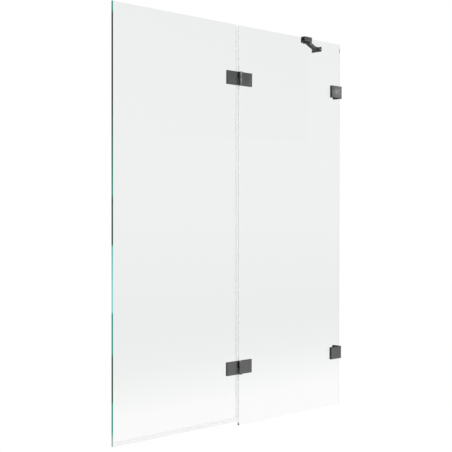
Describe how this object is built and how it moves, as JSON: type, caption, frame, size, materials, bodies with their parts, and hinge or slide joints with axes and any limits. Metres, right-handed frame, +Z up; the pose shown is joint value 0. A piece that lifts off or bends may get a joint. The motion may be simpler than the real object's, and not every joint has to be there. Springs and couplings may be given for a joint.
{
  "type": "bath screen",
  "caption": "Frameless folding bath screen: fixed clear glass pane on wall brackets with a support arm, and a hinged clear glass door with drip and joint seals.",
  "frame": {"origin": "on the wall, in the middle plane of the fixed pane, at the middle height of the lower wall bracket", "axes": "+X square into the wall, +Y towards the bath side, +Z up; the screen reaches from the wall along -X"},
  "size_m": [1.206, 0.1777, 1.5045],
  "materials": {
    "clear_glass": "clear toughened float glass with ground and polished edges",
    "gunmetal": "brushed, dark gunmetal coating",
    "stainless_steel": "plain turned stainless steel",
    "gasket_rubber": "smooth black rubber",
    "nylon": "black nylon, moulded",
    "clear_vinyl": "clear extruded vinyl"
  },
  "bodies": {
    "fixed_part": {"fixed_glass": "clear_glass", "upper_wall_bracket": "gunmetal", "lower_wall_bracket": "gunmetal", "wall_bracket_gaskets": "gasket_rubber", "wall_bracket_screws": "stainless_steel", "wall_bracket_cones": "nylon", "upper_hinge_fixed_leaf": "gunmetal", "lower_hinge_fixed_leaf": "gunmetal", "fixed_leaf_gaskets": "gasket_rubber", "fixed_leaf_screws": "stainless_steel", "fixed_leaf_cones": "nylon", "upper_hinge_pin": "stainless_steel", "lower_hinge_pin": "stainless_steel", "support_clamp": "gunmetal", "clamp_gasket": "gasket_rubber", "clamp_pressure_plate": "stainless_steel", "clamp_grub_screws": "stainless_steel", "clamp_pivot_pin": "stainless_steel", "support_arm": "gunmetal", "support_wall_plate": "gunmetal", "wall_plate_pivot_pin": "stainless_steel"},
    "door": {"door_glass": "clear_glass", "upper_hinge_door_leaf": "gunmetal", "lower_hinge_door_leaf": "gunmetal", "door_leaf_gaskets": "gasket_rubber", "door_leaf_screws": "stainless_steel", "door_leaf_cones": "nylon", "upper_hinge_sleeve": "nylon", "lower_hinge_sleeve": "nylon", "door_drip_seal": "clear_vinyl", "joint_seal_top": "clear_vinyl", "joint_seal_middle": "clear_vinyl", "joint_seal_bottom": "clear_vinyl"}
  },
  "joints": [
    {"name": "door_swing", "type": "hinge", "parent": "fixed_part", "child": "door", "pos_m": [-0.61, -0.0155, 0], "axis": [0, 0, 1], "range_deg": [0, 180]}
  ]
}
